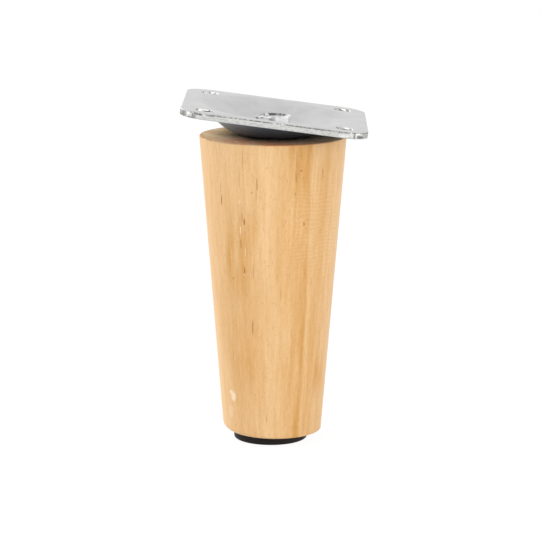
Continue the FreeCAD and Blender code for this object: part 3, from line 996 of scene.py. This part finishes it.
bm = bmesh.new()
bend_weight = bm.edges.layers.float.new("bevel_weight_edge")
plate_low, plate_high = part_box("mounting_plate")
plate_side = plate_high.y - plate_low.y
bmesh.ops.create_grid(bm, x_segments=1, y_segments=1, size=plate_side / 2, matrix=plate_plane)
bmesh.ops.bevel(bm, geom=bm.verts, offset=PLATE_CORNER_RADIUS, offset_type="OFFSET", segments=CORNER_STEPS,
                profile=0.5, affect="VERTICES", material=-1)
bm.faces.ensure_lookup_table()
middle = bm.faces[0]
bmesh.ops.inset_region(bm, faces=[middle], thickness=EDGE_STRIP, use_even_offset=True)
flat_outlines = list(middle.edges)
bmesh.ops.delete(bm, geom=[middle], context="FACES_ONLY")

screw_spacing = mounts["plate_screws"]["dims"]["pcd_mm"] * MM / math.sqrt(2)
screw_radius = mounts["plate_screws"]["dims"]["hole_r_mm"] * MM
for side_x in (-0.5, 0.5):
    for side_y in (-0.5, 0.5):
        base = plate_plane @ Matrix.Translation((side_x * screw_spacing, side_y * screw_spacing, 0))
        flat_outlines += punched_circle(bm, screw_radius, base, HOLE_STEPS, HOLE_STRIP)

seat_place = Matrix.Translation(seat_centre)
seat_width = BOWL_SEAT_RADIUS - BOLT_HOLE_RADIUS
seat_ring = punched_circle(bm, BOLT_HOLE_RADIUS, seat_place, BOWL_STEPS, seat_width)
widen = BOWL_RIM_RADIUS / BOWL_SEAT_RADIUS
onto_rim = plate_plane @ Matrix.Diagonal((widen, widen, widen, 1)) @ seat_place.inverted()
rim_ring = grow_ring(bm, seat_ring, onto_rim)
flat_outlines += grow_ring(bm, rim_ring, scaled_on(plate_plane, BOWL_BORDER_RADIUS / BOWL_RIM_RADIUS))
bmesh.ops.triangle_fill(bm, use_beauty=True, edges=flat_outlines, normal=plate_axis)

bmesh.ops.recalc_face_normals(bm, faces=bm.faces)
for ring, bend_radius in ((seat_ring, SEAT_BEND_RADIUS), (rim_ring, RIM_BEND_RADIUS)):
    for edge in ring:
        edge[bend_weight] = bend_radius * math.tan(edge.calc_face_angle() / 2) / BEND_REACH

plate_finishes = [plate_zinc, underside_zinc, plate_edge_zinc]
pressed_plate = finish_piece(bm, "pressed_plate", "mounting_plate", plate_finishes)
bends = soften(pressed_plate, BEND_REACH, BEND_SEGMENTS)
bends.limit_method = "WEIGHT"
wall = pressed_plate.modifiers.new("sheet_thickness", "SOLIDIFY")
wall.thickness = PLATE_THICKNESS
wall.offset = 1.0
wall.use_even_offset = True
wall.material_offset = 1
wall.material_offset_rim = 2
soften(pressed_plate, PLATE_ARRIS, PLATE_ARRIS_SEGMENTS, PLATE_ARRIS_ANGLE)

# %% [markdown]
# ## Hexagon bolt
# The bolt is forged and threaded. Its head is a hexagon whose corners were turned off by a shallow cone, with
# a dished top. One spun tool body has that cone and that dish, and a Boolean keeps what the hexagon and the
# tool share, which gives the curved facets of a real head.

# %% Hexagon bolt
HEAD_WIDTH = 13.0 * MM
HEAD_CHAMFER = math.radians(16)
HEAD_FLAT_RADIUS = 6.0 * MM
DISH_RADIUS, DISH_DEPTH, DISH_WALL = 5.3 * MM, 0.7 * MM, 0.15 * MM
HEAD_SOFTNESS, HEAD_SOFT_SEGMENTS, HEAD_SOFT_ANGLE = 0.4 * MM, 3, 20.0
TOOL_STEPS = 96


def mesh_object(bm, name):
    mesh = bpy.data.meshes.new(name)
    bmesh.ops.recalc_face_normals(bm, faces=bm.faces)
    bm.to_mesh(mesh)
    bm.free()
    made = bpy.data.objects.new(name, mesh)
    scene.collection.objects.link(made)
    return made


def carved(body, tool, operation):
    """The result of a Boolean between two bmeshes, as a new bmesh."""
    body, tool = mesh_object(body, "body"), mesh_object(tool, "tool")
    boolean = body.modifiers.new("carve", "BOOLEAN")
    boolean.operation = operation
    boolean.object = tool
    boolean.solver = "EXACT"
    depsgraph = bpy.context.evaluated_depsgraph_get()
    result = bmesh.new()
    result.from_mesh(body.evaluated_get(depsgraph).to_mesh())
    for made in (body, tool):
        bpy.data.objects.remove(made)
    return result


hexagon = bmesh.new()
head_height = bolt_high.z - (leg_high.z + PLATE_THICKNESS)
on_seat = Matrix.Translation((0, 0, bolt_high.z - head_height))
bmesh.ops.create_circle(hexagon, cap_ends=True, segments=6, radius=HEAD_WIDTH / math.sqrt(3), matrix=on_seat)
raised = bmesh.ops.extrude_face_region(hexagon, geom=list(hexagon.faces))["geom"]
raised_verts = [part for part in raised if isinstance(part, bmesh.types.BMVert)]
bmesh.ops.translate(hexagon, vec=(0, 0, head_height), verts=raised_verts)

tool = bmesh.new()
tool_radius = HEAD_WIDTH
tool_drop = (tool_radius - HEAD_FLAT_RADIUS) * math.tan(HEAD_CHAMFER)
turn_outline(tool, [
    (0, bolt_high.z - DISH_DEPTH),
    (DISH_RADIUS - DISH_WALL, bolt_high.z - DISH_DEPTH),
    (DISH_RADIUS, bolt_high.z),
    (HEAD_FLAT_RADIUS, bolt_high.z),
    (tool_radius, bolt_high.z - tool_drop),
    (tool_radius, bolt_low.z),
    (0, bolt_low.z),
], steps=TOOL_STEPS)
bm = carved(hexagon, tool, "INTERSECT")
hex_head = finish_piece(bm, "hexagon_head", "hex_bolt", [bolt_zinc])
soften(hex_head, HEAD_SOFTNESS, HEAD_SOFT_SEGMENTS, HEAD_SOFT_ANGLE)

# %% [markdown]
# ## Bolt thread
# The shank is rolled between dies, which press a screw thread into it. Nothing shows it once the bolt is in,
# but it is what holds the plate. A core is spun first. A small section is then spun upwards round it by one
# pitch each turn, which makes a ridge, and a Boolean joins the two into one body.

# %% Bolt thread
SHANK_CORE_RADIUS, SHANK_TIP_CHAMFER = 3.3 * MM, 0.6 * MM
THREAD_RADIUS, THREAD_PITCH, THREAD_STEPS = 3.97 * MM, 1.25 * MM, 36
THREAD_ROOT_HALF, THREAD_CREST_HALF = 0.55 * MM, 0.1 * MM
THREAD_SUNK = 0.1 * MM
THREAD_SOFTNESS, THREAD_SOFT_ANGLE = 0.03 * MM, 30.0

core = bmesh.new()
seat_height = bolt_high.z - head_height
turn_outline(core, [
    (0, bolt_low.z),
    (SHANK_CORE_RADIUS - SHANK_TIP_CHAMFER, bolt_low.z),
    (SHANK_CORE_RADIUS, bolt_low.z + SHANK_TIP_CHAMFER),
    (SHANK_CORE_RADIUS, seat_height),
    (0, seat_height),
], steps=THREAD_STEPS)

ridge = bmesh.new()
thread_start = bolt_low.z + SHANK_TIP_CHAMFER + THREAD_ROOT_HALF
thread_turns = int((seat_height - THREAD_PITCH - thread_start) / THREAD_PITCH)
section = [(SHANK_CORE_RADIUS - THREAD_SUNK, -THREAD_ROOT_HALF), (THREAD_RADIUS, -THREAD_CREST_HALF),
           (THREAD_RADIUS, THREAD_CREST_HALF), (SHANK_CORE_RADIUS - THREAD_SUNK, THREAD_ROOT_HALF)]
corners = [ridge.verts.new((radius, 0, thread_start + height)) for radius, height in section]
sides = [ridge.edges.new(pair) for pair in zip(corners, corners[1:] + corners[:1])]
bmesh.ops.spin(ridge, geom=corners + sides, cent=(0, 0, 0), axis=(0, 0, 1), angle=math.tau * thread_turns,
               steps=THREAD_STEPS * thread_turns, dvec=(0, 0, THREAD_PITCH / THREAD_STEPS))
bmesh.ops.holes_fill(ridge, edges=[edge for edge in ridge.edges if edge.is_boundary], sides=len(section))
bm = carved(core, ridge, "UNION")
threaded_shank = finish_piece(bm, "threaded_shank", "hex_bolt", [bolt_zinc])
soften(threaded_shank, THREAD_SOFTNESS, 1, THREAD_SOFT_ANGLE)
print("thread has", thread_turns, "turns")
